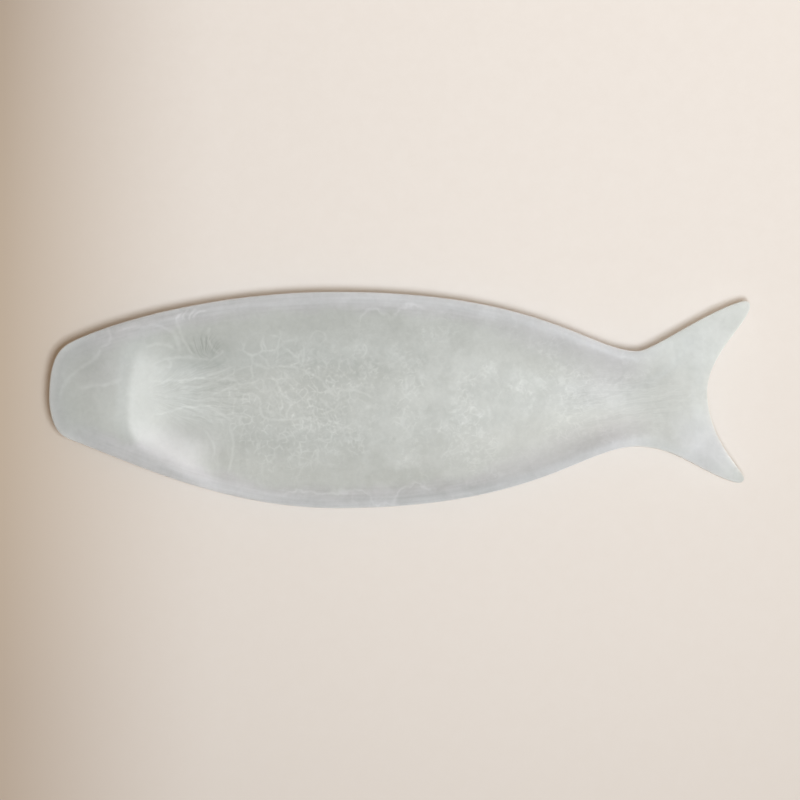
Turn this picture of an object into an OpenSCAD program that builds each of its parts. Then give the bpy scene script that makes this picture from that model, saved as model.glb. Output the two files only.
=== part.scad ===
// Serving platter in the shape of a fish: one marbled resin casting on clear stick-on bumpers.
// The snout points to -X, the tail to +X and the back of the fish to +Y.
// The origin is on the table, below the middle of the fish.

/* [Outline] */
// Length of the fish from the snout to the upper tip of the tail
fish_length = 560; // [480:1:660]
// Width of the body at its widest
girth = 173; // [150:1:200]
// Distance from the snout to the widest place of the body
girth_place = 229; // [205:1:270]
// Width of the blunt snout between its corners
snout_width = 76; // [58:1:90]
// Distance from the front of the snout back to its corners
snout_bulge = 15; // [9:0.5:18]
// How far the middle of the snout's corners stands towards the back of the fish
snout_lift = 7; // [0:0.2:12]
// How far the foremost point of the snout stands towards the back
snout_tip_lift = 0.5; // [0:0.5:8]
// Width of the waist in front of the tail
waist_width = 76; // [62:1:92]
// How far the waist stands towards the back
waist_lift = 1; // [-4:0.5:6]

/* [Tail] */
// Distance from the waist to the upper tip of the tail
tail_length = 90; // [78:1:104]
// Span of the tail from tip to tip
tail_span = 145; // [125:1:170]
// How far the middle of the tail stands towards the back
tail_lift = 6.5; // [0:0.5:10]
// Depth of the fork between the tips
fork_depth = 35.5; // [28:0.5:41]
// How far the lower tip stops short of the upper one
lower_tip_short = 5; // [0:0.5:10]
// Length of the rounded end of each tip
tip_length = 7.6; // [6:0.2:10]
// Drop of the rounding at the end of each tip
tip_round = 3.6; // [3:0.2:5]

/* [Dish] */
// Thickness of the casting
wall = 7; // [5:0.5:9]
// Reach of the rounding at the outer edge, measured inwards
lip_round = 1.2; // [1:0.1:3]
// Depth of the well below the rim
well_depth = 18; // [13:0.5:24]
// Width of the rim along both sides
rim_width = 7; // [5:0.5:11]
// How far the rim falls off towards the outer edge
rim_drop = 0.4; // [0.2:0.1:3]
// Width of the curved wall between the rim and the floor of the well
side_wall = 55; // [42:1:62]
// Length of the shelf at the head
head_shelf = 55; // [45:1:67]
// Length of the wall between the shelf and the floor
head_wall = 82; // [65:1:100]
// How far the shelf falls off towards the snout
head_drop = 2; // [1:0.5:8]
// Distance from the upper tip of the tail to the crest between ramp and tail
tail_crest = 42; // [36:1:52]
// Length of the ramp between the floor and the crest at the tail
tail_ramp = 123; // [95:1:145]
// How far the tail falls off behind its crest
tail_drop = 5; // [1:0.5:8]
// Depth that is sanded off underneath to make the base flat
base_cut = 2; // [1:0.1:3]

/* [Bumpers] */
// Diameter of a bumper where it sticks to the base
bumper_d = 12; // [8:0.5:14]
// Diameter of the flat sole that a bumper stands on
bumper_sole_d = 7; // [4:0.5:7.5]
// Height of a bumper
bumper_height = 3; // [2:0.5:5]
// Distance from a bumper's edge to the edge of the flat base
bumper_margin = 5; // [3:0.5:8]

/* [Hidden] */
resin_grey = [0.77, 0.78, 0.76];
bumper_clear = [0.86, 0.89, 0.9, 0.7];

bumper_rows = ["head", "middle", "tail"];
bumper_sides = ["back", "belly"];
// Place of each row of bumpers along the level floor
bumper_row_shares = [0.1, 0.45, 0.8];
function bumper_name(row, side) = str("bumper_", bumper_rows[row], "_", bumper_sides[side]);

// Stations along the fish
snout_x = -fish_length / 2;
tail_x = fish_length / 2;
girth_x = snout_x + girth_place;
waist_x = tail_x - tail_length;
shelf_x = snout_x + head_shelf;
crest_x = tail_x - tail_crest;
lower_tip_x = tail_x - lower_tip_short;
fork_x = tail_x - fork_depth;
upper_tip_y = tail_lift + tail_span / 2;
lower_tip_y = tail_lift - tail_span / 2;

// Knots of the outline: [x, y], heading in degrees, and the shares of the chords behind and ahead
// that the handles of the curve take. Both lists run from the snout to the fork.
back_knots = [
    [snout_x, snout_tip_lift],
    [snout_x + snout_bulge, snout_lift + snout_width / 2],
    [girth_x, girth / 2],
    [waist_x, waist_lift + waist_width / 2],
    [tail_x - tip_length, upper_tip_y],
    [tail_x, upper_tip_y - tip_round],
    [fork_x, tail_lift]
];
back_headings = [90, 27, 0, 0, 16, -90, -90];
back_handle_shares = [
    [0, 0.3], [0.34, 0.2], [0.41, 0.68], [0.16, 0.11], [0.32, 0.45], [0.45, 0.17], [0.39, 0]
];
belly_knots = [
    [snout_x, snout_tip_lift],
    [snout_x + snout_bulge, snout_lift - snout_width / 2],
    [girth_x, -girth / 2],
    [waist_x, waist_lift - waist_width / 2],
    [lower_tip_x - tip_length, lower_tip_y],
    [lower_tip_x, lower_tip_y + tip_round],
    [fork_x, tail_lift]
];
belly_headings = [-90, -18, 0, 0, -16, 96, 90];
belly_handle_shares = [
    [0, 0.2], [0.38, 0.17], [0.43, 0.66], [0.18, 0.36], [0.34, 0.45], [0.45, 0.08], [0.51, 0]
];
// Straight steps in each stretch between two knots
stretch_steps = [6, 16, 18, 9, 4, 9];
lip_steps = 4;
slope_steps = 10;

function toward(degrees, distance) = distance * [cos(degrees), sin(degrees)];
function blend(a, b, t) = a + (b - a) * t;

// Point at t, from 0 to 1, of the curve between two knots
function curve_point(start, end, t) =
    pow(1 - t, 3) * start[0] + 3 * pow(1 - t, 2) * t * start[1]
    + 3 * (1 - t) * pow(t, 2) * end[1] + pow(t, 3) * end[0];

// One side of the outline, from the snout to the fork
function side_points(knots, headings, handle_shares) = [
    for (stretch = [0:len(stretch_steps) - 1])
        let (
            a = knots[stretch],
            b = knots[stretch + 1],
            chord = norm(b - a),
            start = [a, a + toward(headings[stretch], chord * handle_shares[stretch][1])],
            end = [b, b - toward(headings[stretch + 1], chord * handle_shares[stretch + 1][0])]
        )
        for (step = [0:stretch_steps[stretch] - 1])
            curve_point(start, end, step / stretch_steps[stretch]),
    knots[len(knots) - 1]
];
back_side = side_points(back_knots, back_headings, back_handle_shares);
belly_side = side_points(belly_knots, belly_headings, belly_handle_shares);

// The outline as one ring: along the back to the fork, then home along the belly
fork_row = len(back_side) - 1;
ring_count = 2 * fork_row;
outline = concat(back_side, [for (row = [fork_row - 1:-1:1]) belly_side[row]]);
function row_of(index) = index <= fork_row ? index : ring_count - index;

// Inward direction at each point of the outline
inward = [
    for (index = [0:ring_count - 1])
        let (
            before = outline[(index + ring_count - 1) % ring_count],
            after = outline[(index + 1) % ring_count],
            along = (after - before) / norm(after - before)
        )
        [along.y, -along.x]
];

// Spine that the slopes from the back and from the belly run to. It leaves the snout and reaches the
// tail level, and swings over to the middle of the body between them.
waist_row = stretch_steps[0] + stretch_steps[1] + stretch_steps[2];
head_rows_share = 0.4;
head_row = stretch_steps[0] + round(stretch_steps[1] * head_rows_share);
tail_rows = fork_row - waist_row;
spine_end_share = 0.6;
function mid_point(row) = (back_side[row] + belly_side[row]) / 2;
function eased(share) = pow(share, 2) * (3 - 2 * share);
function swung(a, b, share) = [blend(a.x, b.x, share), blend(a.y, b.y, eased(share))];
spine_front = [snout_x + (snout_bulge + head_shelf) / 2, snout_tip_lift];
spine_end = [blend(mid_point(waist_row).x, fork_x, spine_end_share), tail_lift];
spine = [
    for (row = [0:fork_row])
        row < head_row ? swung(spine_front, mid_point(head_row), row / head_row)
        : row <= waist_row ? mid_point(row)
        : swung(mid_point(waist_row), spine_end, (row - waist_row) / tail_rows)
];

// Heights of the middle of the wall
half_wall = wall / 2;
base_z = bumper_height;
floor_z = base_z - base_cut + half_wall;
crest_z = floor_z + well_depth;
lip_reach = min(lip_round, tip_round);
// At 1 the edge would be a half ellipse; a lower power makes it blunter
lip_power = 0.5;

// Share of the depth at a share of the way from a crest down to the floor: rounded over at the top,
// steep in the upper half and running out level. swell bends the top and settle bends the foot.
swell = 1.45;
settle = 3;
function slope_share(way) = 1 - pow(1 - pow(min(max(way, 0), 1), swell), settle);
function fall_share(way) = pow(max(0, 1 - way), 2);

// Height of the middle of the wall at x, at a distance from the outer edge, where the spine lies
// at a distance of reach
function mid_z(x, distance, reach) =
    let (
        slope = min(side_wall, reach - rim_width),
        side = slope_share((distance - rim_width) / slope),
        head = slope_share((x - shelf_x) / head_wall),
        tail = slope_share((crest_x - x) / tail_ramp)
    )
    crest_z - well_depth * side * head * tail
    - rim_drop * fall_share(distance / rim_width)
    - head_drop * fall_share((x - snout_x) / head_shelf)
    - tail_drop * fall_share((tail_x - x) / tail_crest);

// Points of one skin: the rounded lip, the slope and the spine. face is 1 for the top, -1 underneath.
function skin_z(x, distance, reach, half, face) =
    face > 0 ? mid_z(x, distance, reach) + half : max(mid_z(x, distance, reach) - half, base_z);
function skin_point(place, distance, reach, half, face) =
    [place.x, place.y, skin_z(place.x, distance, reach, half, face)];
function lip_place(index) = outline[index] + lip_reach * inward[index];
function reach_at(index) = lip_reach + norm(spine[row_of(index)] - lip_place(index));
function lip_ring(turn, face) = [
    for (index = [0:ring_count - 1])
        let (distance = lip_reach * (1 - pow(cos(turn), lip_power)))
        skin_point(outline[index] + distance * inward[index], distance, reach_at(index),
            half_wall * pow(sin(turn), lip_power), face)
];
function slope_ring(share, face) = [
    for (index = [0:ring_count - 1])
        let (reach = reach_at(index))
        skin_point(blend(lip_place(index), spine[row_of(index)], share),
            blend(lip_reach, reach, share), reach, half_wall, face)
];
function spine_line(face) = [
    for (row = [0:fork_row]) skin_point(spine[row], reach_at(row), reach_at(row), half_wall, face)
];
quarter_turn = 90;
function skin(face) = concat(
    [for (step = [1:lip_steps]) each lip_ring(quarter_turn * step / lip_steps, face)],
    [for (step = [1:slope_steps - 1]) each slope_ring(step / slope_steps, face)],
    spine_line(face)
);

// The whole casting: the outer edge, the top skin and the skin underneath
rings = lip_steps + slope_steps - 1;
skin_count = rings * ring_count + fork_row + 1;
edge = lip_ring(0, 1);
function skin_index(ring, index, first) =
    ring == 0 ? index % ring_count
    : ring <= rings ? first + (ring - 1) * ring_count + index % ring_count
    : first + rings * ring_count + row_of(index);
// Each four-sided face is cut so that no triangle lies along an end of the spine
function cut_face(a, b, c, d, index) =
    index % fork_row < fork_row / 2 ? [[a, b, d], [b, c, d]] : [[a, b, c], [a, c, d]];
function skin_faces(first) = [
    for (ring = [0:rings], index = [0:ring_count - 1])
        each cut_face(
            skin_index(ring, index, first),
            skin_index(ring, index + 1, first),
            skin_index(ring + 1, index + 1, first),
            skin_index(ring + 1, index, first),
            index
        )
];
function flipped(faces) = [for (face = faces) [face[2], face[1], face[0]]];

module platter() {
    color(resin_grey)
        polyhedron(
            points = concat(edge, skin(1), skin(-1)),
            faces = concat(skin_faces(ring_count), flipped(skin_faces(ring_count + skin_count)))
        );
}

// The base is flat where the casting was to be deeper than the sanded plane
flat_share = pow(1 - pow(base_cut / well_depth, 1 / settle), 1 / swell);
bumper_inset = rim_width + flat_share * side_wall + bumper_margin + bumper_d / 2;
level_start_x = shelf_x + head_wall;
level_end_x = crest_x - tail_ramp;
function row_x(row) = blend(level_start_x, level_end_x, bumper_row_shares[row]);
function edge_y(side, x) = lookup(x, [for (row = [0:waist_row]) side[row]]);
function bumper_y(row, side) =
    side == 0 ? edge_y(back_side, row_x(row)) - bumper_inset
    : edge_y(belly_side, row_x(row)) + bumper_inset;

// A bumper is a shallow dome that stands on its flattened top
dome_steps = 6;
bumper_profile = concat(
    [[0, bumper_height], [0, 0]],
    [
        for (step = [0:dome_steps])
            let (turn = quarter_turn * step / dome_steps)
            [
                blend(bumper_sole_d / 2, bumper_d / 2, sin(turn)),
                bumper_height * (1 - cos(turn))
            ]
    ]
);

module bumper(row, side) {
    color(bumper_clear)
        translate([row_x(row), bumper_y(row, side), 0])
            rotate_extrude($fn = 48)
                polygon(bumper_profile);
}

platter();
for (row = [0:len(bumper_rows) - 1], side = [0:len(bumper_sides) - 1])
    bumper(row, side);
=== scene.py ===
# %% [markdown]
# This lesson dresses a serving platter in the shape of a fish. The real one is a single casting: grey and
# white resin is stirred just enough to marble, poured into a mould and sanded to a satin finish.
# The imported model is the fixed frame. It holds the casting and its six bumpers at their real size, so
# everything below is written in metres in that frame, and nothing has to be fitted afterwards.

# %% Load the frame
import math

import bmesh
import bpy
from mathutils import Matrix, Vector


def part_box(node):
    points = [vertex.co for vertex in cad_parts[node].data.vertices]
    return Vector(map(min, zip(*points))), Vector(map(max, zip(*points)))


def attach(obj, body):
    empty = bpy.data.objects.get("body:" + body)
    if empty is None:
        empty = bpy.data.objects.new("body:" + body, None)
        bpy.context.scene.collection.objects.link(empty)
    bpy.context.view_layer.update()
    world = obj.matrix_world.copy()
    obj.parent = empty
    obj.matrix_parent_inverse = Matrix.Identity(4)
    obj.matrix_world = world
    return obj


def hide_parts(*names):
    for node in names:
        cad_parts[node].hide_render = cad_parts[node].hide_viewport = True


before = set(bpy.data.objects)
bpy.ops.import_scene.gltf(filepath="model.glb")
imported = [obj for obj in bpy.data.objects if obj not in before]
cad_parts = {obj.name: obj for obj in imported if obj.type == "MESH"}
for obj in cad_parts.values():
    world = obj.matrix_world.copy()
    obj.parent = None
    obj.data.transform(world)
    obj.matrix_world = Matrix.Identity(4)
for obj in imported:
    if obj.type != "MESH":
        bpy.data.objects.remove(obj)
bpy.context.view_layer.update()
scene = bpy.context.scene
scene.view_settings.view_transform = "Standard"

# %% [markdown]
# The platter was photographed from straight above, as a product is for a catalogue. A camera with no
# rotation already looks down in Blender, with +Y at the top of the picture. A long lens keeps the rim and
# the snout at nearly the same scale. The distance follows from how much of the table the picture shows.

# %% Camera
picture_side = 0.64
outline_height = 0.0165
lens_mm = 100.0
sensor_mm = 36.0

camera_data = bpy.data.cameras.new("camera")
camera_data.lens = lens_mm
camera_data.sensor_width = sensor_mm
camera = bpy.data.objects.new("camera", camera_data)
camera.location = (0.0, 0.0, outline_height + picture_side * lens_mm / sensor_mm)
scene.collection.objects.link(camera)
scene.camera = camera
print("camera stands", round(camera.location.z, 3), "m above the table")

# %% [markdown]
# A material is a graph of small sums. Wiring each Math node by hand hides the idea, so a small class wraps
# a socket and lets Python's own operators add the nodes: `1 - mask * 0.5` becomes two Math nodes.
# Every other node comes from one method: its settings first, then the values or links of its sockets.
# The same class serves Geometry Nodes, because both kinds of tree share the Math nodes.

# %% Sockets that take part in sums
class Wire:
    """An output socket of a node tree that can stand in an arithmetic expression."""

    def __init__(self, tree, socket):
        self.tree = tree
        self.socket = socket

    @classmethod
    def node(cls, tree, kind, settings=None, sockets=None, out=0):
        made = tree.nodes.new(kind)
        for name, value in (settings or {}).items():
            if name == "stops":
                cls.set_stops(made.color_ramp, value)
            else:
                setattr(made, name, value)
        for key, value in (sockets or {}).items():
            if isinstance(value, Wire):
                tree.links.new(value.socket, made.inputs[key])
            else:
                made.inputs[key].default_value = value
        return cls(tree, made.outputs[out])

    @staticmethod
    def set_stops(ramp, stops):
        while len(ramp.elements) < len(stops):
            ramp.elements.new(1.0)
        for element, (place, colour) in zip(ramp.elements, stops):
            element.position = place
            element.color = (*colour, 1.0)

    def math(self, operation, *values, clamp=False):
        settings = {"operation": operation, "use_clamp": clamp}
        return Wire.node(self.tree, "ShaderNodeMath", settings, dict(enumerate(values)))

    def __add__(self, other):
        return self.math("ADD", self, other)

    def __sub__(self, other):
        return self.math("SUBTRACT", self, other)

    def __rsub__(self, other):
        return self.math("SUBTRACT", other, self)

    def __mul__(self, other):
        return self.math("MULTIPLY", self, other)

    def __truediv__(self, other):
        return self.math("DIVIDE", self, other)

    def __rtruediv__(self, other):
        return self.math("DIVIDE", other, self)

    def __pow__(self, other):
        return self.math("POWER", self, other)

    def __abs__(self):
        return self.math("ABSOLUTE", self)

    __radd__ = __add__
    __rmul__ = __mul__

    def clamped(self):
        return self.math("ADD", self, 0.0, clamp=True)

    def at_least(self, other):
        return self.math("MAXIMUM", self, other)

    def fade(self, start, end):
        """0 up to start and 1 from end on, with a soft run between; start may be the larger one."""
        settings = {"interpolation_type": "SMOOTHSTEP"}
        sockets = {"Value": self, "From Min": start, "From Max": end}
        return Wire.node(self.tree, "ShaderNodeMapRange", settings, sockets)

    def vector(self, operation, *values, out=0):
        settings = {"operation": operation}
        return Wire.node(self.tree, "ShaderNodeVectorMath", settings, dict(enumerate(values)), out)

    def parts(self):
        split = Wire.node(self.tree, "ShaderNodeSeparateXYZ", None, {0: self}).socket.node
        return [Wire(self.tree, socket) for socket in split.outputs]


def joined(tree, x=0.0, y=0.0, z=0.0):
    return Wire.node(tree, "ShaderNodeCombineXYZ", None, {0: x, 1: y, 2: z})


print("arithmetic on sockets is ready")

# %% [markdown]
# Marbled resin has no outlines: one colour drifts into the next, and thin white threads of pigment lie in
# it. These helpers make the ingredients. Sizes are given in metres, because the textures read Object
# coordinates. `noise` is a cloud, `drifted` pushes coordinates about so that a pattern flows, `thread`
# turns the places where a cloud crosses its middle value into a thin line, and `broken` lets a line come
# and go.

# %% Ingredients of a marbled finish
seed_step = (1.7, 2.9, 4.3)


def noise(at, size, detail=2.0, rough=0.5, seed=0.0, out="Fac"):
    """A cloud with lumps of about a size. Each seed reads it in another place."""
    scale = 1.0 / size
    shift = tuple(step * seed for step in seed_step)
    place = at.vector("MULTIPLY_ADD", at, (scale, scale, scale), shift)
    sockets = {"Vector": place, "Scale": 1.0, "Detail": detail, "Roughness": rough}
    return Wire.node(at.tree, "ShaderNodeTexNoise", None, sockets, out)


def drifted(at, size, reach, detail=1.0, seed=0.0):
    """Coordinates that are pushed about by up to a reach, in eddies of about a size."""
    push = noise(at, size, detail, seed=seed, out="Color")
    centred = at.vector("SUBTRACT", push, (0.5, 0.5, 0.5))
    return at.vector("MULTIPLY_ADD", centred, (2 * reach, 2 * reach, 2 * reach), at)


def thread(cloud, width):
    """1 on the line where a cloud crosses its middle value, 0 from a width away."""
    return (1 - abs(cloud - 0.5) / width).clamped()


def broken(at, size, seed):
    """Patches of 0 and 1 with soft edges, for lines that come and go."""
    return noise(at, size, seed=seed).fade(0.42, 0.60)


print("lumps of a cloud, threads and gaps are ready")

# %% [markdown]
# An ingredient has to stay where the pour put it. `patch` is a soft oval for that, as seen from above, and
# `ovals` adds up a list of them. Lists of places are in millimetres, because they are easier to read so.

# %% Soft ovals
def metres(pair_mm):
    return tuple(v / 1000 for v in pair_mm)


def flat_offset(at, centre):
    """The way from a centre to here, as seen from above."""
    way = at.vector("SUBTRACT", at, (*centre, 0.0))
    return at.vector("MULTIPLY", way, (1.0, 1.0, 0.0))


def flat_length(way):
    return way.vector("LENGTH", way, out="Value")


def patch(at, centre, radii, soft=1.0):
    """A soft oval: 1 in the middle, 0 at its radii. soft is the share of the radii that fades."""
    way = at.vector("MULTIPLY", flat_offset(at, centre), (1.0 / radii[0], 1.0 / radii[1], 0.0))
    return flat_length(way).fade(1.0, 1.0 - soft)


def ovals(at, places):
    """The sum of soft ovals, each given by its centre and radii in millimetres and by an amount."""
    total = 0.0
    for centre, radii, amount in places:
        total = total + amount * patch(at, metres(centre), metres(radii))
    return total


print("soft ovals are ready, with radii such as", metres((60, 28)), "m")

# %% [markdown]
# Every finish starts from the same shader. `feed` links sums to its sockets by name, and `mixed` turns one
# colour into another, or multiplies it by a tint. Colours are written as they look on screen, 0 to 255.

# %% Starting a material
def linear(*srgb):
    """A colour written as 0 to 255 on screen, as the light that it stands for."""
    return tuple((v / 255 / 12.92) if v < 10 else ((v / 255 + 0.055) / 1.055) ** 2.4 for v in srgb)


def new_material(name):
    material = bpy.data.materials.new(name)
    material.use_nodes = True
    shader = material.node_tree.nodes["Principled BSDF"]
    return material, material.node_tree, shader


def feed(tree, shader, **links):
    for name, wire in links.items():
        tree.links.new(wire.socket, shader.inputs[name.replace("_", " ")])


def mixed(tree, share, first, second, blend="MIX"):
    """The first colour turned into the second by a share, or tinted by it if the blend is MULTIPLY."""
    colours = [colour if isinstance(colour, Wire) else (*colour, 1.0) for colour in (first, second)]
    # A Mix node has sockets for each kind of data. Those for colours are inputs 6 and 7 and output 2.
    settings = {"data_type": "RGBA", "blend_type": blend}
    return Wire.node(tree, "ShaderNodeMix", settings, {0: share, 6: colours[0], 7: colours[1]}, 2)


resin_grey = linear(190, 192, 187)
print("middle grey of the resin:", [round(v, 3) for v in resin_grey])

# %% [markdown]
# The resin's colour is built as one number, whiteness, from deep grey at 0 to white pigment at 1. First come
# the places where it is raised or lowered. A painted highlight lies on the wall behind the head shelf, where
# that wall faces the light, in a bent bar: a bowed, crisp front meets a softer slanting side, and the smooth
# maximum of the distances to both rounds the bend. Painted light lies along the walls too, most of all in
# the rear half. The distance from the edge, which the mesh will carry as an attribute, finds those. Other
# places are soft ovals, listed with how much whiter they are: some are pigment, and some are painted
# highlight and painted shade, where a wall faces the light and where it faces away.

# %% Pigment and painted light
bar_front = -0.2175
bar_bow = 3.8
bar_middle = -0.004
bar_slant = (-0.1890, -0.0475)
bar_outward = (-0.513, -0.858)
bar_bend = 0.020
pigment_and_painted_light = [
    ((-150, 34), (60, 28), -0.12),
    ((-148, 28), (14, 7), -0.07),
    ((-162, 26), (22, 8), -0.05),
    ((-190, 29), (7, 5), -0.06),
    ((-35, 30), (75, 20), -0.07),
    ((-80, 30), (45, 26), -0.06),
    ((-62, 12), (34, 16), -0.05),
    ((-32, 18), (16, 14), -0.05),
    ((21, 29), (22, 10), -0.06),
    ((22, 4), (32, 14), 0.10),
    ((-38, 44), (8, 7), 0.07),
    ((-8, 46), (20, 12), 0.05),
    ((-88, 42), (22, 12), -0.05),
    ((-58, -12), (26, 26), -0.05),
    ((-102, -36), (44, 20), -0.09),
    ((-126, -30), (18, 14), -0.05),
    ((4, -62), (20, 16), -0.05),
    ((-250, 26), (20, 13), -0.09),
    ((-246, 42), (24, 12), -0.05),
    ((-228, -2), (22, 34), 0.06),
    ((-178, -12), (26, 20), 0.05),
    ((-158, -38), (30, 26), 0.10),
    ((-175, 64), (7, 7), 0.10),
    ((-128, -66), (46, 17), 0.10),
    ((-35, 85), (60, 14), 0.06),
    ((34, -70), (52, 13), -0.08),
    ((147, -2), (26, 14), -0.07),
    ((138, 8), (30, 18), -0.04),
    ((174, -22), (20, 8), 0.05),
    ((192, 12), (24, 14), -0.05),
    ((186, 40), (32, 11), -0.06),
    ((188, -42), (34, 12), -0.07),
    ((222, -34), (18, 16), -0.05),
    ((203, 22), (16, 26), -0.05),
    ((222, 22), (12, 16), 0.05),
    ((263, -48), (18, 18), 0.20),
    ((274, 70), (14, 14), 0.06),
]


def head_wall_painted_highlight(at):
    """A painted highlight: the bright bar on the wall behind the head shelf, where that wall faces the
    light.
    """
    x, y = at.parts()[:2]
    bow = y - bar_middle
    front = bar_front + bar_bow * bow * bow - x
    slant = bar_outward[0] * (x - bar_slant[0]) + bar_outward[1] * (y - bar_slant[1])
    outside = front.math("SMOOTH_MAX", front, slant - 0.006, bar_bend)
    crisp_front = outside.fade(0.003, -0.005)
    soft_side = slant.fade(0.009, -0.009)
    inwards = outside.fade(-0.040, -0.012)
    ends = y.fade(0.050, 0.020) * x.fade(-0.132, -0.174)
    strength = 0.23 + 0.17 * y.fade(-0.004, -0.032)
    return crisp_front * soft_side * inwards * ends * strength


def walls_painted_light(at, rim):
    """Painted light along the walls, more of it on the lower side and in the rear."""
    x, y = at.parts()[:2]
    wall = rim.fade(0.008, 0.022) * rim.fade(0.058, 0.030)
    wall = wall * x.fade(-0.18, -0.12) * x.fade(0.205, 0.170)
    below = y.fade(0.012, -0.012)
    rear = x.fade(-0.04, 0.10)
    return wall * (0.02 + 0.06 * below + rear * (0.06 + 0.05 * below))


# The ovals counted here are pigment and painted light alike.
print("places where the pigment settled:", len(pigment_and_painted_light))

# %% [markdown]
# The pour began at the head, so the resin gets whiter towards the tail. Clouds of several sizes lie over
# that drift. The edge of the snout gets painted light where it turns away from the lamps, and the lower rim
# gets painted shade from the middle on.

# %% Clouds
base_whiteness = 0.325


def drifting_clouds(at):
    """Clouds about 0, and the ovals of pigment and painted light. Puffs weaken to the rear, where the
    billows are.
    """
    x = at.parts()[0]
    wandering = drifted(at, 0.045, 0.010, detail=2.0, seed=1.0)
    large = noise(wandering, 0.06, seed=2.0)
    puffs = noise(drifted(at, 0.02, 0.006, seed=3.0), 0.016, detail=4.0, rough=0.6, seed=4.0)
    frost = noise(drifted(at, 0.006, 0.003, seed=5.0), 0.0040, detail=3.0, rough=0.6, seed=6.0)
    rolling = drifted(at, 0.03, 0.012, detail=2.0, seed=8.0)
    billows = noise(rolling, 0.024, detail=3.0, rough=0.55, seed=9.0).fade(0.42, 0.58)
    puff_strength = 0.15 - 0.08 * x.fade(0.02, 0.07)
    clouds = 0.07 * (large - 0.5) + puff_strength * (puffs - 0.5) + 0.15 * (frost - 0.5)
    clouds = clouds + 0.06 * x.fade(-0.08, -0.02) * (billows - 0.5)
    return clouds + ovals(wandering, pigment_and_painted_light)


def resin_clouds(at, rim):
    x, y = at.parts()[:2]
    tailward = 0.17 * x.fade(-0.06, 0.22) + 0.06 * x.fade(0.205, 0.230)
    greyer = 0.08 * x.fade(-0.12, 0.0) + 0.06 * x.fade(0.02, 0.06)
    # Painted shade on the lower rim, from the middle on.
    lower_rim_painted_shade = rim.fade(0.014, 0.004) * y.fade(-0.03, -0.05) * greyer
    # Painted light on the edge of the snout, which turns away from the lamps.
    snout_edge_painted_light = 0.15 * rim.fade(0.008, 0.001) * x.fade(-0.235, -0.262)
    bar = head_wall_painted_highlight(drifted(at, 0.012, 0.0015, detail=2.0, seed=7.0))
    whiteness = base_whiteness + drifting_clouds(at) + tailward + walls_painted_light(at, rim) + bar
    return whiteness + snout_edge_painted_light - lower_rim_painted_shade


print("whiteness is built up from", base_whiteness)

# %% [markdown]
# Where two colours of resin of different weight meet, they part into cells with white walls. A Voronoi
# texture's distance to the nearest cell edge gives those walls. Pushing its coordinates about at two sizes
# makes the walls wander. A cloud breaks most of them up, because few cells in a real pour stay closed.
# Feathers are short curled threads, the trace of pigment that was stirred only a little. Flecks are drops
# of pigment that stayed whole, at the centres of some cells.

# %% Cells, feathers and flecks
def cells(at, feature, size):
    """A flat Voronoi texture: the distance from its cell edges or, for F1, from its cell centres."""
    settings = {"feature": feature, "voronoi_dimensions": "2D"}
    sockets = {"Vector": at, "Scale": 1.0 / size}
    return Wire.node(at.tree, "ShaderNodeTexVoronoi", settings, sockets, "Distance")


def cell_walls(at, size, width, seed):
    eddies = drifted(at, 1.4 * size, 0.40 * size, seed=seed)
    flowing = drifted(eddies, 0.4 * size, 0.10 * size, seed=seed + 1)
    return cells(flowing, "DISTANCE_TO_EDGE", size).fade(width / size, 0.0)


def feathers(at, size, width, seed):
    curled = drifted(at, 1.5 * size, 0.9 * size, seed=seed)
    lines = thread(noise(curled, size, detail=1.0, seed=seed + 1), width)
    return lines * broken(at, size, seed + 2)


def flecks(at, size, seed):
    return cells(at, "F1", size).fade(0.14, 0.06) * broken(at, 2 * size, seed)


print("cell walls, feathers and flecks are ready")

# %% [markdown]
# Resin that runs down a wall draws its pigment out into streaks that lie side by side, or that spread like
# the spokes of a fan. Both come from a stretched cloud. For a fan the cloud is read on the direction from
# its start. `streaked` turns such a cloud into faint light and dark stripes with a white thread here and
# there.

# %% Streaks and fans
def turned(at, angle):
    """Coordinates turned about the upright axis."""
    sockets = {"Vector": at, "Angle": angle}
    return Wire.node(at.tree, "ShaderNodeVectorRotate", {"rotation_type": "Z_AXIS"}, sockets)


def strand_cloud(at, heading, along, across, seed):
    """A cloud drawn out at a heading in degrees; along and across are its sizes in metres."""
    level = turned(at, -math.radians(heading))
    drawn_out = at.vector("MULTIPLY", level, (1.0 / along, 1.0 / across, 1.0 / along))
    return noise(drawn_out, 1.0, detail=1.0, seed=seed)


def fan_cloud(at, start, count, length, seed, twist=0.0):
    """A cloud drawn out away from a start. count is about how many stripes there are in a radian, and twist
    is by how many radians a stripe turns in each metre."""
    way = flat_offset(at, start)
    far = flat_length(way)
    heading = at.vector("NORMALIZE", turned(way, far * twist))
    spread = at.vector("MULTIPLY", heading, (count, count, 0.0))
    drawn_out = at.vector("ADD", spread, joined(at.tree, z=far / length))
    return noise(drawn_out, 1.0, detail=1.0, seed=seed)


def streaked(cloud, stripes, threads):
    return stripes * (cloud - 0.5) + threads * thread(cloud, width=0.07)


print("streaks and fans are ready")

# %% [markdown]
# Some veins are long and clear enough to be drawn one by one. Each is a piece of the circle through three
# points, the first and last being its ends, and fades out a little beyond them.

# %% A vein through three points
past_ends = 0.62


def circle_through(a, b, c):
    """Centre and radius of the circle through three points."""
    twice_area = 2 * (a[0] * (b[1] - c[1]) + b[0] * (c[1] - a[1]) + c[0] * (a[1] - b[1]))
    square = [p[0] ** 2 + p[1] ** 2 for p in (a, b, c)]
    x = (square[0] * (b[1] - c[1]) + square[1] * (c[1] - a[1]) + square[2] * (a[1] - b[1])) / twice_area
    y = (square[0] * (c[0] - b[0]) + square[1] * (a[0] - c[0]) + square[2] * (b[0] - a[0])) / twice_area
    return (x, y), math.dist((x, y), a)


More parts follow.
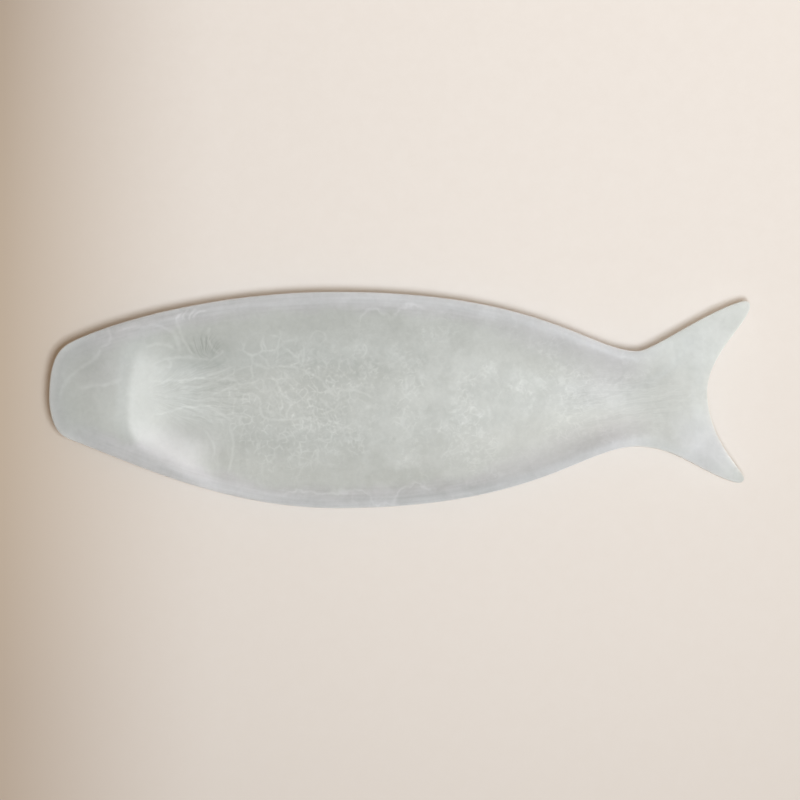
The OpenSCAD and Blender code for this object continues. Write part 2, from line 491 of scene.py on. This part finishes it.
def vein(at, points_mm, width):
    a, b, c = [metres(point) for point in points_mm]
    centre, radius = circle_through(a, b, c)
    middle = ((a[0] + c[0]) / 2, (a[1] + c[1]) / 2)
    reach = past_ends * math.dist(a, c)
    line = abs(flat_length(flat_offset(at, centre)) - radius).fade(width, 0.0)
    return line * patch(at, middle, (reach, reach), soft=0.4)


print("a vein fades out at", past_ends, "of its length from its middle")

# %% [markdown]
# The veins come in groups that share a strength, a width and a waver: those of the head shelf, of the whorl
# and its comb of short strokes, the runs down the head wall, the branches that leave the hub, and the ones
# along the border. The waver pushes the coordinates about, so that no vein is a perfect arc. The points are
# in millimetres.

# %% Single veins
shelf_veins = [
    [(-271, 3), (-266, 14), (-255, 25)],
    [(-255, 25), (-244, 33), (-237, 41)],
    [(-237, 41), (-232, 48), (-232, 57)],
    [(-254, 10), (-236, 12), (-222, 16)],
    [(-226, 54), (-206, 59), (-188, 58)],
    [(-192, 59), (-181, 54), (-177, 40)],
    [(-202, 43), (-192, 45), (-182, 42)],
    [(-186, 33), (-184, 29), (-186, 25)],
]
whorl_veins = [
    [(-177, 64), (-174, 50), (-160, 33)],
    [(-197, 29), (-180, 34), (-153, 31)],
    [(-153, 58), (-152, 45), (-146, 37)],
    [(-153, 31), (-147, 34), (-142, 40)],
]
comb_veins = [
    [(-177, 63), (-176, 67), (-173, 70)],
    [(-173, 64), (-172, 68), (-169, 72)],
    [(-169, 64), (-166, 69), (-162, 72)],
    [(-165, 66), (-160, 70), (-155, 72)],
]
run_veins = [
    [(-197, 15), (-173, 16), (-135, 26)],
    [(-151, 5), (-141, 8), (-132, 13)],
    [(-147, 15), (-137, 16), (-129, 14)],
    [(-196, -12), (-174, -7), (-154, -5)],
    [(-157, -4), (-146, -9), (-135, -17)],
    [(-137, -20), (-134, -38), (-137, -58)],
    [(-156, -25), (-150, -34), (-149, -46)],
]
hub_veins = [
    [(-110, 48), (-108, 43), (-108, 38)],
    [(-101, 38), (-98, 46), (-96, 55)],
    [(-104, 19), (-97, 11), (-93, 1)],
    [(-113, 18), (-126, 13), (-136, 17)],
    [(-113, 18), (-109, 12), (-110, 5)],
    [(-124, 5), (-114, 2), (-113, -6)],
    [(-113, -6), (-112, -11), (-108, -16)],
    [(-108, -15), (-92, -16), (-76, -15)],
    [(-90, -15), (-90, -8), (-86, -4)],
    [(-98, 27), (-89, 27), (-81, 25)],
    [(-78, 45), (-77, 36), (-81, 25)],
    [(-81, 25), (-70, 20), (-62, 16)],
    [(-62, 16), (-57, 8), (-51, 3)],
    [(-51, 3), (-48, 7), (-44, 9)],
    [(-44, 9), (-34, 7), (-23, 3)],
    [(-72, 49), (-66, 56), (-60, 52)],
    [(-28, 45), (-27, 40), (-31, 34)],
]
border_veins = [
    [(-34, 61), (-24, 71), (-9, 65)],
    [(-8, 64), (0, 73), (18, 75)],
    [(-96, -75), (-64, -72), (-37, -76)],
    [(-38, -76), (-30, -71), (-23, -79)],
    [(-24, -79), (-13, -83), (-2, -79)],
    [(-3, -79), (6, -70), (24, -71)],
]
# Each group with its strength, width and waver
vein_groups = [
    (shelf_veins, 0.08, 0.0028, 0.0020),
    (whorl_veins, 0.08, 0.0020, 0.0020),
    (comb_veins, 0.13, 0.0016, 0.0020),
    (run_veins, 0.09, 0.0019, 0.0020),
    (hub_veins, 0.10, 0.0018, 0.0020),
    (border_veins, 0.10, 0.0022, 0.0050),
]


def drawn_veins(at):
    drawn = 0.0
    for group, strength, width, waver in vein_groups:
        wavy = drifted(drifted(at, 0.012, waver, seed=11.0), 0.006, 0.6 * waver, seed=12.0)
        for points_mm in group:
            drawn = (strength * vein(wavy, points_mm, width)).at_least(drawn)
    return drawn * (0.4 + 1.2 * noise(at, 0.010, seed=13.0))


print("veins drawn one by one:", sum(len(group) for group, *rest in vein_groups))

# %% [markdown]
# Now everything is put where the pour left it: a network of cells around the hub, broken cells and crumbs
# of pigment about it, a fan of streaks down the head wall, dark strokes in the whorl, spokes from the hub,
# streaks that fall down the lower wall, feathers over the paler half, streaks along the waist and some
# flecks. Where veins and cell walls cross, the brighter one shows, so crossings do not become bright knots.

# %% The veins of the platter
run_start = (-0.208, 0.003)
hub = (-0.106, 0.029)
whorl_foot = (-0.150, 0.033)


def network(at, loose):
    """The drawn veins and the cells, of which the brightest shows, with crumbs between them."""
    cells_here = patch(loose, (-0.090, -0.008), (0.078, 0.074), soft=0.6)
    large_cells = 0.11 * cell_walls(at, 0.0130, 0.0018, seed=20.0) * broken(at, 0.0143, seed=22.0)
    small_cells = 0.13 * cell_walls(at, 0.0066, 0.0012, seed=24.0) * broken(at, 0.0073, seed=26.0)
    hub_here = patch(loose, (-0.104, 0.033), (0.034, 0.030), soft=0.5)
    hub_gaps = 0.4 + 0.6 * broken(at, 0.012, seed=30.0)
    hub_cells = 0.12 * cell_walls(at, 0.0135, 0.0018, seed=28.0) * hub_gaps
    veins = drawn_veins(at).at_least(hub_here * hub_cells)
    veins = veins.at_least(cells_here * (1 - hub_here) * large_cells.at_least(small_cells))
    return veins + 0.12 * cells_here * (noise(at, 0.0026, rough=0.6, seed=29.0) - 0.5)


def resin_veins(at):
    loose = drifted(at, 0.030, 0.006, detail=2.0, seed=10.0)
    wavy = drifted(drifted(at, 0.014, 0.0024, seed=14.0), 0.004, 0.0005, seed=15.0)
    veins = network(at, loose)

    run_here = patch(loose, (-0.158, 0.004), (0.054, 0.034), soft=0.6)
    broad_run = fan_cloud(wavy, run_start, count=12.0, length=0.030, seed=31.0)
    fine_run = fan_cloud(wavy, run_start, count=28.0, length=0.016, seed=33.0)
    veins = veins + run_here * streaked(broad_run, stripes=0.13, threads=0.07)
    veins = veins + run_here * streaked(fine_run, stripes=0.14, threads=0.07)

    strokes_here = patch(loose, (-0.157, 0.042), (0.018, 0.014), soft=0.8)
    strokes = fan_cloud(wavy, whorl_foot, count=11.0, length=0.030, seed=41.0, twist=40.0)
    veins = veins - 0.14 * strokes_here * strokes.fade(0.44, 0.62)

    spokes_here = patch(loose, (-0.090, 0.034), (0.024, 0.026), soft=0.6)
    spokes = fan_cloud(wavy, hub, count=4.0, length=0.020, seed=35.0)
    veins = veins + spokes_here * streaked(spokes, stripes=0.04, threads=0.05)

    fall_here = patch(loose, (-0.130, -0.045), (0.060, 0.036), soft=0.8)
    fall = strand_cloud(wavy, heading=96.0, along=0.040, across=0.0060, seed=48.0)
    veins = veins + fall_here * streaked(fall, stripes=0.10, threads=0.03)

    feathers_here = patch(loose, (0.05, 0.0), (0.20, 0.085), soft=0.5)
    curls = 0.09 * feathers(at, 0.0100, 0.09, seed=51.0) + 0.09 * feathers(at, 0.0050, 0.11, seed=54.0)
    veins = veins + feathers_here * curls * (0.35 + 0.9 * broken(at, 0.035, seed=50.0))

    waist_here = patch(loose, (0.178, 0.0), (0.075, 0.032), soft=0.7)
    waist_run = strand_cloud(wavy, heading=8.0, along=0.020, across=0.0030, seed=57.0)
    veins = veins + waist_here * streaked(waist_run, stripes=0.15, threads=0.08)

    flecks_here = patch(loose, (-0.075, 0.006), (0.045, 0.040), soft=0.8)
    return veins + 0.16 * flecks_here * flecks(at, 0.0110, seed=59.0)


print("fans start at", run_start, hub, whorl_foot)

# %% [markdown]
# Near the edge the resin is thin and looks cooler, in a ragged band. It follows the distance from the edge,
# so it bends with the outline without any unwrapping. The very lip gets painted light by the way that it
# faces: much on the lower side, which faces the lamp, and a little on the upper side. Faint tints vary the
# grey: cool ones in the band and in a few places, warm ones along the middle and a blue one at the snout.

# %% Rim, lip and tints
cool_tint = (1.0, 0.972, 1.018)
warm_tint = (1.011, 1.0, 0.988)
blue_tint = (0.982, 0.998, 1.008)
cool_places = [
    ((-185, -40), (55, 30), 0.7),
    ((160, 10), (50, 30), 0.4),
    ((245, -40), (50, 45), 0.8),
    ((-240, 25), (40, 30), 0.4),
]


def rim_band(at, rim, rear):
    """The ragged band along the edge, wider and softer in the rear half."""
    x = at.parts()[0]
    ragged = rim + 0.016 * (noise(at, 0.020, detail=4.0, rough=0.6, seed=61.0) - 0.5)
    band = ragged.fade(0.021 + 0.016 * rear, 0.009 - 0.007 * rear)
    return band * x.fade(0.22, 0.17) * x.fade(-0.268, -0.225)


def lip_painted_light(tree, rim):
    """Painted light on the upper half of the lip, by the way that it faces."""
    facing = Wire.node(tree, "ShaderNodeNewGeometry", out="Normal").parts()
    to_lamp = 0.45 * facing[1].fade(-0.15, -0.60)
    from_lamp = 0.14 * facing[1].fade(0.10, 0.40)
    return (to_lamp + from_lamp) * rim.fade(0.0020, 0.0005) * facing[2].fade(0.0, 0.20)


def tinted(tree, colour, at, rim, band):
    x = at.parts()[0]
    at_snout = x.fade(-0.22, -0.26)
    cool = band + 0.5 * rim.fade(0.018, 0.004) * at_snout + ovals(at, cool_places)
    warm = patch(at, (0.02, 0.002), (0.25, 0.055), soft=0.6) * (1 - band)
    warm = warm + patch(at, (0.225, 0.0), (0.05, 0.05))
    blue = rim.fade(0.030, 0.004) * at_snout
    colour = mixed(tree, cool.clamped(), colour, cool_tint, "MULTIPLY")
    colour = mixed(tree, warm, colour, warm_tint, "MULTIPLY")
    return mixed(tree, blue, colour, blue_tint, "MULTIPLY")


print("cool places besides the rim:", len(cool_places))

# %% [markdown]
# Now the finish itself. Streaks run along the band at the rim, a ramp turns whiteness into a colour, and the
# tints go over it. Sanding leaves a satin gloss that varies a little, and a faint relief. A part of the
# light enters the resin and leaves it nearby, which softens the shading.

# %% The marbled resin
deep_grey = linear(150, 153, 146)
cloud_white = linear(216, 218, 214)
pigment_white = linear(240, 241, 238)
grey_to_white = [(0.0, deep_grey), (0.35, resin_grey), (0.65, cloud_white), (1.0, pigment_white)]


def marbled_resin():
    material, tree, shader = new_material("marbled_resin")
    at = Wire.node(tree, "ShaderNodeTexCoord", out="Object")
    x, y = at.parts()[:2]
    rim = Wire.node(tree, "ShaderNodeAttribute", {"attribute_name": "rim_distance"}, None, "Fac")
    rear = x.fade(0.04, 0.12)
    band = rim_band(at, rim, rear)
    along_rim = at.vector("MULTIPLY", joined(tree, x, rim, 0.2 * y), (20.0, 420.0, 20.0))
    streaks = (0.24 - 0.15 * rear) * band * (noise(along_rim, 1.0, seed=62.0) - 0.41)

    whiteness = resin_clouds(at, rim) + resin_veins(at) + lip_painted_light(tree, rim) + streaks
    ramp = {"Fac": whiteness.clamped()}
    colour = Wire.node(tree, "ShaderNodeValToRGB", {"stops": grey_to_white}, ramp, "Color")
    colour = tinted(tree, colour, at, rim, band)

    satin = 0.50 + 0.14 * (noise(at, 0.012, rough=0.6, seed=71.0) - 0.5)
    height = noise(at, 0.009, rough=0.55, seed=72.0)
    relief = {"Strength": 0.10, "Distance": 0.0005, "Height": height}
    bump = Wire.node(tree, "ShaderNodeBump", None, relief)
    feed(tree, shader, Base_Color=colour, Roughness=satin, Normal=bump)
    shader.inputs["Specular IOR Level"].default_value = 0.35
    shader.inputs["Subsurface Weight"].default_value = 0.50
    shader.inputs["Subsurface Radius"].default_value = (1.0, 1.0, 1.0)
    shader.inputs["Subsurface Scale"].default_value = 0.006
    return material


resin = marbled_resin()
print("resin finish has", len(resin.node_tree.nodes), "nodes")

# %% [markdown]
# The casting's shape comes from the frame. Its mesh there is loose triangles, so a copy is merged and its
# triangles are paired into four-sided faces first: subdivision rounds those much more evenly.

# %% A clean copy of the casting
weld_gap = 1e-6


def welded_copy(node_name, name):
    shape = bmesh.new()
    shape.from_mesh(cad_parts[node_name].data)
    bmesh.ops.remove_doubles(shape, verts=shape.verts, dist=weld_gap)
    straight = math.radians(180)
    bmesh.ops.join_triangles(
        shape, faces=shape.faces, angle_face_threshold=straight, angle_shape_threshold=straight
    )
    mesh = bpy.data.meshes.new(name)
    shape.to_mesh(mesh)
    shape.free()
    piece = bpy.data.objects.new(name, mesh)
    scene.collection.objects.link(piece)
    return piece


platter = welded_copy("platter", "marbled_platter")
face_sizes = [len(face.vertices) for face in platter.data.polygons]
print("platter copy:", face_sizes.count(4), "quads,", face_sizes.count(3), "triangles")

# %% [markdown]
# Geometry Nodes trees make the pieces. Each starts from named inputs and ends by setting the finish. It is
# run once on its piece, and the result is kept as a plain mesh.

# %% Starting and running a tree
def new_tree(name, inputs):
    tree = bpy.data.node_groups.new(name, "GeometryNodeTree")
    tree.interface.new_socket("Geometry", in_out="INPUT", socket_type="NodeSocketGeometry")
    for label, kind in inputs.items():
        tree.interface.new_socket(label, in_out="INPUT", socket_type=kind)
    tree.interface.new_socket("Geometry", in_out="OUTPUT", socket_type="NodeSocketGeometry")
    entry = tree.nodes.new("NodeGroupInput")
    return tree, {socket.name: Wire(tree, socket) for socket in entry.outputs if socket.name}


def close_tree(tree, geometry, material):
    real = Wire.node(tree, "GeometryNodeRealizeInstances", None, {0: geometry})
    dressed = Wire.node(tree, "GeometryNodeSetMaterial", None, {"Geometry": real, "Material": material})
    leave = tree.nodes.new("NodeGroupOutput")
    tree.links.new(dressed.socket, leave.inputs[0])


def apply_tree(piece, tree, values):
    """Runs a tree on a piece with the given input values and keeps the result as a plain mesh."""
    modifier = piece.modifiers.new(tree.name, "NODES")
    modifier.node_group = tree
    for item in tree.interface.items_tree:
        if item.in_out == "INPUT" and item.name in values:
            modifier[item.identifier] = values[item.name]
    evaluated = piece.evaluated_get(bpy.context.evaluated_depsgraph_get())
    mesh = bpy.data.meshes.new_from_object(evaluated)
    piece.modifiers.clear()
    piece.data = mesh
    mesh.name = piece.name
    return piece


print("trees can be filled in")

# %% [markdown]
# The first tree finishes the casting. It subdivides it, lets the hand-sanded surface ripple by a tenth of a
# millimetre, and measures for every point how far it lies from the outline as seen from above. The outline
# is found by a rule: it is the edges between a face that looks up and one that looks down. The distance is
# stored as the attribute that the resin reads.

# %% Geometry Nodes for the casting
def casting_tree():
    inputs = {
        "Subdivision": "NodeSocketInt",
        "Ripple height": "NodeSocketFloat",
        "Ripple size": "NodeSocketFloat",
        "Ripple seed": "NodeSocketFloat",
        "Finish": "NodeSocketMaterial",
    }
    tree, given = new_tree("casting", inputs)
    place = Wire.node(tree, "GeometryNodeInputPosition")
    facing = Wire.node(tree, "GeometryNodeInputNormal")
    x, y = place.parts()[:2]
    from_above = joined(tree, x, y)

    looks_up = facing.math("SIGN", facing.parts()[2])
    marked = Wire.node(
        tree, "GeometryNodeStoreNamedAttribute", {"data_type": "FLOAT", "domain": "FACE"},
        {"Geometry": given["Geometry"], "Name": "looks_up", "Value": looks_up},
    )
    mark = Wire.node(tree, "GeometryNodeInputNamedAttribute", {"data_type": "FLOAT"}, {"Name": "looks_up"})
    turning = mark.math("LESS_THAN", abs(mark), 0.5)
    outline = Wire.node(
        tree, "GeometryNodeSeparateGeometry", {"domain": "EDGE"}, {"Geometry": marked, "Selection": turning}
    )
    flattened = {"Geometry": outline, "Position": from_above}
    outline = Wire.node(tree, "GeometryNodeSetPosition", None, flattened)

    finer = {"Mesh": given["Geometry"], "Level": given["Subdivision"]}
    body = Wire.node(tree, "GeometryNodeSubdivisionSurface", None, finer)
    gap = Wire.node(
        tree, "GeometryNodeProximity", {"target_element": "EDGES"},
        {0: outline, "Sample Position": from_above}, "Distance",
    )
    body = Wire.node(
        tree, "GeometryNodeStoreNamedAttribute", {"data_type": "FLOAT", "domain": "POINT"},
        {"Geometry": body, "Name": "rim_distance", "Value": gap},
    )
    ripple = Wire.node(
        tree, "ShaderNodeTexNoise", {"noise_dimensions": "4D"},
        {"Vector": place, "W": given["Ripple seed"], "Scale": 1 / given["Ripple size"], "Detail": 2.0},
    )
    sunk = given["Ripple height"] * -1 * ripple
    offset = Wire.node(tree, "ShaderNodeVectorMath", {"operation": "SCALE"}, {0: facing, "Scale": sunk})
    body = Wire.node(tree, "GeometryNodeSetPosition", None, {"Geometry": body, "Offset": offset})
    body = Wire.node(tree, "GeometryNodeSetShadeSmooth", None, {"Geometry": body})
    close_tree(tree, body, given["Finish"])
    return tree


casting_sizes = {
    "Subdivision": 2, "Ripple height": 0.0001, "Ripple size": 0.03, "Ripple seed": 4.0, "Finish": resin
}
apply_tree(platter, casting_tree(), casting_sizes)
rim_values = [item.value for item in platter.data.attributes["rim_distance"].data]
print("platter:", len(platter.data.polygons), "faces, rim distance up to", round(max(rim_values), 4), "m")

# %% [markdown]
# The bumpers under the base are small domes of clear, soft polyurethane that are bought on a sheet and
# stuck on. Dust makes the clear material a little uneven, and where it is scuffed it is duller.

# %% The clear polyurethane
def clear_polyurethane():
    material, tree, shader = new_material("clear_polyurethane")
    at = Wire.node(tree, "ShaderNodeTexCoord", out="Object")
    dust = noise(at, 0.0012, detail=3.0, rough=0.6, seed=81.0)
    stops = [(0.35, linear(214, 220, 222)), (0.75, linear(232, 236, 236))]
    colour = Wire.node(tree, "ShaderNodeValToRGB", {"stops": stops}, {"Fac": dust}, "Color")
    scuffs = noise(at, 0.003, detail=3.0, rough=0.6, seed=82.0).fade(0.5, 0.75)
    bump = Wire.node(tree, "ShaderNodeBump", None, {"Strength": 0.1, "Distance": 0.0002, "Height": dust})
    feed(tree, shader, Base_Color=colour, Roughness=0.16 + 0.25 * scuffs, Normal=bump)
    shader.inputs["Transmission Weight"].default_value = 0.6
    shader.inputs["IOR"].default_value = 1.49
    return material


polyurethane = clear_polyurethane()
print("bumper finish has", len(polyurethane.node_tree.nodes), "nodes")

# %% [markdown]
# The bumpers repeat, so one dome is made by a rule and set on a point for each place. A flat grid becomes
# the dome. One side of the grid runs round the axis. The other goes from the middle of the sole to the
# middle of the glued face: its first quarter is the sole, its middle half the bulge and its last quarter
# the glued face. Size and places are read from the frame, and the sole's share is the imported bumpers'.

# %% Geometry Nodes for the bumpers
around_steps = 40
profile_steps = 20
sole_share = 7.0 / 12.0


def bumper_tree():
    inputs = {
        "Radius": "NodeSocketFloat",
        "Sole radius": "NodeSocketFloat",
        "Height": "NodeSocketFloat",
        "Finish": "NodeSocketMaterial",
    }
    tree, given = new_tree("bumpers", inputs)
    steps = {"Vertices X": around_steps + 1, "Vertices Y": profile_steps + 1}
    grid = Wire.node(tree, "GeometryNodeMeshGrid", None, steps)
    u, v = Wire.node(tree, "GeometryNodeInputPosition").parts()[:2]
    angle = u * -2 * math.pi
    way = v + 0.5
    on_sole = (way * 4).clamped()
    on_dome = (way * 2 - 0.5).clamped() * (math.pi / 2)
    on_top = (4 - way * 4).clamped()
    bulge = (given["Radius"] - given["Sole radius"]) * on_dome.math("SINE", on_dome)
    radius = (given["Sole radius"] * on_sole + bulge) * on_top
    height = given["Height"] * (1 - on_dome.math("COSINE", on_dome))
    round_axis = joined(tree, radius * u.math("COSINE", angle), radius * u.math("SINE", angle), height)
    dome = Wire.node(tree, "GeometryNodeSetPosition", None, {"Geometry": grid, "Position": round_axis})
    dome = Wire.node(tree, "GeometryNodeMergeByDistance", None, {"Geometry": dome, "Distance": weld_gap})
    dome = Wire.node(tree, "GeometryNodeSetShadeSmooth", None, {"Geometry": dome})
    stuck_on = {"Points": given["Geometry"], "Instance": dome}
    placed = Wire.node(tree, "GeometryNodeInstanceOnPoints", None, stuck_on)
    close_tree(tree, placed, given["Finish"])
    return tree


bumper_nodes = sorted(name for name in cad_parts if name.startswith("bumper_"))
bumper_boxes = [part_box(name) for name in bumper_nodes]
soles = [((low.x + high.x) / 2, (low.y + high.y) / 2, low.z) for low, high in bumper_boxes]
bumper_size = bumper_boxes[0][1] - bumper_boxes[0][0]

points = bpy.data.meshes.new("clear_bumpers")
points.from_pydata(soles, [], [])
bumpers = bpy.data.objects.new("clear_bumpers", points)
scene.collection.objects.link(bumpers)
bumper_sizes = {
    "Radius": bumper_size.x / 2, "Sole radius": sole_share * bumper_size.x / 2,
    "Height": bumper_size.z, "Finish": polyurethane,
}
apply_tree(bumpers, bumper_tree(), bumper_sizes)
print(len(bumper_nodes), "bumpers,", len(bumpers.data.polygons), "faces")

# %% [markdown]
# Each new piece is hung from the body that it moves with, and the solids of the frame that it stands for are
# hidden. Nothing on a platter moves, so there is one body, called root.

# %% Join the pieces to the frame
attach(platter, "root")
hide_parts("platter")
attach(bumpers, "root")
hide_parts(*bumper_nodes)

# %% [markdown]
# The table is a plain, warm, pale floor, as a photographer's sweep of paper would be. Its colour holds
# painted
# shade: it is browner on the left and towards the bottom, and greyer in the left corners, where the studio
# is darker. Putting that shade into its colour keeps the light on the platter even. Outside the picture the
# paper fades into the pale backdrop, as a sweep does. The backdrop shows only where it is looked at, also in
# a reflection, so it adds no light to the resin's own colour.

# %% Floor
floor_half = 3.0
sweep_start = 0.33
sweep_end = 0.52
backdrop = linear(239, 231, 223)
pale_paper = linear(249, 241, 233)
painted_shade_lower_paper = linear(224, 215, 206)
brown_fibres_and_painted_shade = linear(203, 186, 167)
corner_shade = (0.91, 0.91, 0.93)
brown_start = -0.14
brown_run = 0.18


def seen_directly(tree):
    """1 for what is looked at, also in a reflection or through a clear thing, 0 for what only lights."""
    rays = Wire.node(tree, "ShaderNodeLightPath").socket.node.outputs
    kinds = [Wire(tree, rays[name]) for name in ("Is Camera Ray", "Is Glossy Ray", "Is Transmission Ray")]
    return (kinds[0] + kinds[1] + kinds[2]).clamped()


def warm_paper():
    material, tree, shader = new_material("warm_paper")
    at = Wire.node(tree, "ShaderNodeTexCoord", out="Object")
    x, y = at.parts()[:2]
    # Painted shade: browner towards the bottom and the left, and greyer in the left corners. The fibres are
    # the paper's own.
    low_side = ((picture_side / 2 - y) / picture_side).clamped() ** 0.8
    left_side = ((brown_start - x) / brown_run).clamped() ** 1.6
    from_middle = abs(y - 0.06) / 0.30
    fibres = 0.14 * (noise(at, 0.012, detail=5.0, rough=0.75, seed=91.0) - 0.3).clamped()
    colour = mixed(tree, low_side, pale_paper, painted_shade_lower_paper)
    colour = mixed(tree, left_side, colour, brown_fibres_and_painted_shade)
    colour = mixed(tree, left_side * from_middle.clamped() ** 2, colour, corner_shade, "MULTIPLY")
    colour = mixed(tree, fibres, colour, brown_fibres_and_painted_shade)
    feed(tree, shader, Base_Color=colour)
    shader.inputs["Roughness"].default_value = 0.9
    shader.inputs["Specular IOR Level"].default_value = 0.1

    far_out = abs(x).at_least(abs(y)).fade(sweep_start, sweep_end)
    glow = Wire.node(tree, "ShaderNodeEmission", None, {"Color": (*backdrop, 1.0)})
    parts = {0: far_out * seen_directly(tree), 1: Wire(tree, shader.outputs[0]), 2: glow}
    sweep = Wire.node(tree, "ShaderNodeMixShader", None, parts)
    tree.links.new(sweep.socket, tree.nodes["Material Output"].inputs["Surface"])
    return material


floor_mesh = bpy.data.meshes.new("floor")
corners = [(floor_half * x, floor_half * y, 0) for x, y in ((-1, -1), (1, -1), (1, 1), (-1, 1))]
floor_mesh.from_pydata(corners, [], [(0, 1, 2, 3)])
floor_mesh.materials.append(warm_paper())
floor = bpy.data.objects.new("floor", floor_mesh)
scene.collection.objects.link(floor)
print("floor is", 2 * floor_half, "m wide")

# %% [markdown]
# Two soft lamps and a warm surround light the platter. One lamp hangs almost overhead, a little towards the
# lower right, and draws the narrow shadow along the back and the snout. The other stands low on the right
# and makes the wall behind the head shelf glow. It is a fill that casts no shadow, so the table shows one
# shadow only. The strengths add up to one, and the overhead lamp's colour makes up for the warm surround,
# so on a level surface a colour renders about as it is written. A lamp of P watts at a distance d gives
# such a surface P * cos / (pi * d) ** 2 of that full light.

# %% Light
def softbox(name, share, direction, distance, side, colour):
    lamp = bpy.data.lights.new(name, "AREA")
    lamp.shape = "SQUARE"
    lamp.size = side
    length = math.sqrt(sum(v * v for v in direction))
    steepness = direction[2] / length
    lamp.energy = share * (math.pi * distance) ** 2 / steepness
    lamp.color = colour
    holder = bpy.data.objects.new(name, lamp)
    holder.location = [distance * v / length for v in direction]
    holder.rotation_mode = "QUATERNION"
    holder.rotation_quaternion = holder.location.to_track_quat("Z", "Y")
    scene.collection.objects.link(holder)
    return lamp


surround_share = 0.28
surround_colour = (1.0, 0.70, 0.42)
fill_share = 0.12
overhead_share = 1.0 - surround_share - fill_share
overhead_colour = [(1 - fill_share - surround_share * v) / overhead_share for v in surround_colour]

softbox("overhead_lamp", overhead_share, direction=(0.13, -0.125, 0.97), distance=1.6, side=0.42,
        colour=overhead_colour)
fill = softbox("side_lamp", fill_share, direction=(0.92, 0.17, 0.33), distance=3.0, side=1.4,
               colour=(1.0, 1.0, 1.0))
fill.use_shadow = False

world = bpy.data.worlds.new("studio")
world.use_nodes = True
scene.world = world
sky = world.node_tree
lit = [surround_share * v for v in surround_colour]
shown = mixed(sky, seen_directly(sky), lit, backdrop)
sky.links.new(shown.socket, sky.nodes["Background"].inputs["Color"])
lamp_watts = [round(thing.data.energy, 2) for thing in scene.objects if thing.type == "LIGHT"]
print("surround gives", surround_share, "of the light, the lamps have", lamp_watts, "watts")
